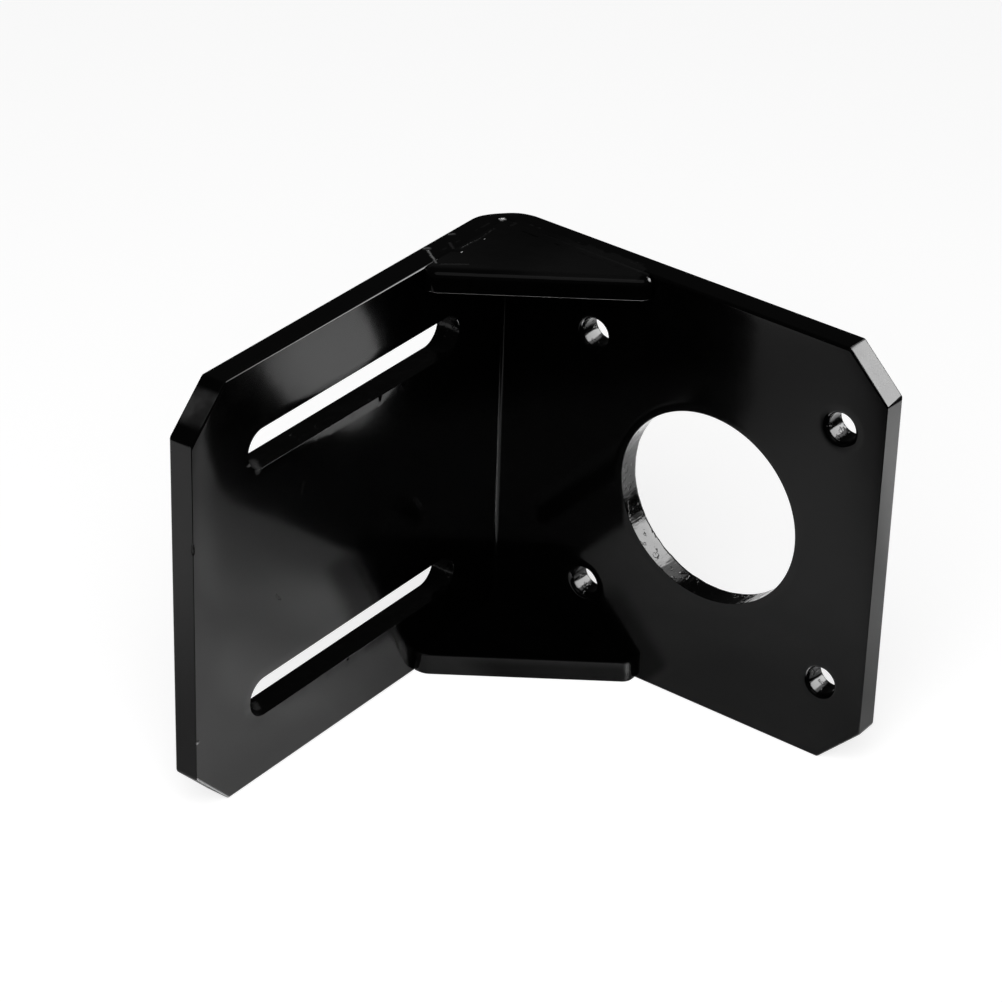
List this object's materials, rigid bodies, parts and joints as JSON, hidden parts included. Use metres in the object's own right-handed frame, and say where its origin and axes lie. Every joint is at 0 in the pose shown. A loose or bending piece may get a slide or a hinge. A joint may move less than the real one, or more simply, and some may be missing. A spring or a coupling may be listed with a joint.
{
  "type": "motor mounting bracket",
  "caption": "Black painted steel angle bracket with welded gussets, a pilot bore and screw square for a 42 mm frame motor, and two long slots in its base.",
  "frame": {"origin": "on the axis of the motor's pilot bore, at the motor plate's inner face", "axes": "+Z along the fold, +Y through the motor plate and out of the angle, +X from the base plate towards the motor plate's free end"},
  "size_m": [0.0514, 0.0535, 0.05],
  "materials": {
    "sheet_paint": "thick gloss black enamel on folded steel sheet",
    "gusset_paint": "thick gloss black enamel on steel plate",
    "weld_paint": "gloss black enamel over a weld ground flush"
  },
  "bodies": {
    "root": {"angle_plate": "sheet_paint", "gusset_top": "gusset_paint", "gusset_bottom": "gusset_paint", "weld_top": "weld_paint", "weld_bottom": "weld_paint"}
  },
  "joints": []
}
